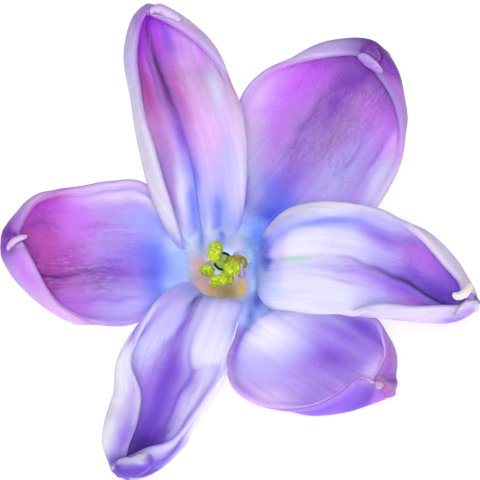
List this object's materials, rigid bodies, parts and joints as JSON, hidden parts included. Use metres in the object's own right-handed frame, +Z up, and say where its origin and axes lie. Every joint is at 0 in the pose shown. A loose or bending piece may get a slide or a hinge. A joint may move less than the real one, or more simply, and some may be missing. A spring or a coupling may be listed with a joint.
{
  "type": "hyacinth floret",
  "caption": "Hyacinth floret as picked, lying down: hooded, folded lobes on a ribbed tube, with stamens and pistil in the throat and a short cut stalk.",
  "frame": {"origin": "on the surface the floret lies on, under the middle of its bounding box", "axes": "+Z up; the open face looks towards -Y and up; +X runs along the surface to the right of someone who looks at the face"},
  "size_m": [0.0358, 0.028, 0.0318],
  "materials": {
    "petal": "soft satin, waxy and slightly translucent",
    "anther": "matt, granular",
    "filament": "satin",
    "pistil": "satin",
    "stalk": "satin"
  },
  "bodies": {
    "root": {"perianth": "petal", "filament_inner_top": "filament", "anther_inner_top": "anther", "filament_outer_upper_right": "filament", "anther_outer_upper_right": "anther", "filament_inner_right": "filament", "anther_inner_right": "anther", "filament_outer_lower_right": "filament", "anther_outer_lower_right": "anther", "filament_inner_lower_left": "filament", "anther_inner_lower_left": "anther", "filament_outer_left": "filament", "anther_outer_left": "anther", "pistil": "pistil", "stalk": "stalk"}
  },
  "joints": []
}
